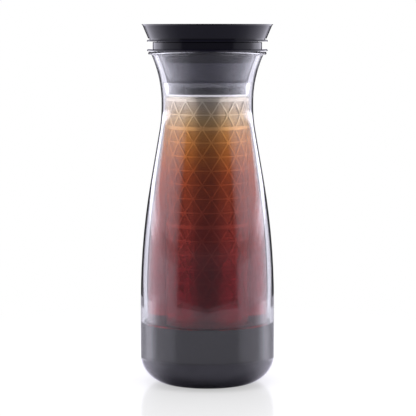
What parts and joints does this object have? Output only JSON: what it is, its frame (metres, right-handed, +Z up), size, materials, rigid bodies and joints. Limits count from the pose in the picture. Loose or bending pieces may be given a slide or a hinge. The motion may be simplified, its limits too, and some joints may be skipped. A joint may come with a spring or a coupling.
{
  "type": "cold brew coffee maker",
  "caption": "Double-walled glass carafe with a lattice filter tube hung in its throat and a lift-off pouring lid whose cap rises to pour.",
  "frame": {"origin": "centre of the carafe's foot, on the table", "axes": "+Z up along the carafe's axis; -Y is the side seen in use"},
  "size_m": [0.1074, 0.1074, 0.2875],
  "materials": {
    "clear_glass": "clear, fire polished",
    "black_base": "satin black",
    "etched_steel": "etched, satin bright",
    "woven_steel": "fine weave",
    "pressed_steel": "pressed, satin bright",
    "clear_silicone": "translucent silicone",
    "black_plastic": "gloss black",
    "smoke_plastic": "gloss black",
    "cap_top_plastic": "fine satin",
    "black_silicone": "matt silicone",
    "spring_steel": "spring steel"
  },
  "bodies": {
    "carafe": {"glass_carafe": "clear_glass", "inner_glass": "clear_glass", "base_cup": "black_base"},
    "filter": {"filter_lattice": "etched_steel", "filter_mesh": "woven_steel", "filter_collar": "pressed_steel", "collar_seal": "clear_silicone", "filter_base": "pressed_steel"},
    "lid": {"lid_collar": "black_plastic", "rim_gasket": "black_silicone", "pour_funnel": "smoke_plastic", "plug_ring": "smoke_plastic", "stem_guide": "black_plastic"},
    "cap": {"cap_shell": "black_plastic", "cap_seal": "black_silicone", "cap_disc": "cap_top_plastic", "cap_stem": "black_plastic", "stem_clip": "spring_steel"}
  },
  "joints": [
    {"name": "filter_lift", "type": "slide", "parent": "carafe", "child": "filter", "axis": [0, 0, 1], "range_m": [0, 0.23]},
    {"name": "lid_lift", "type": "slide", "parent": "filter", "child": "lid", "axis": [0, 0, 1], "range_m": [0, 0.05]},
    {"name": "cap_rise", "type": "slide", "parent": "lid", "child": "cap", "axis": [0, 0, 1], "range_m": [0, 0.008]}
  ]
}
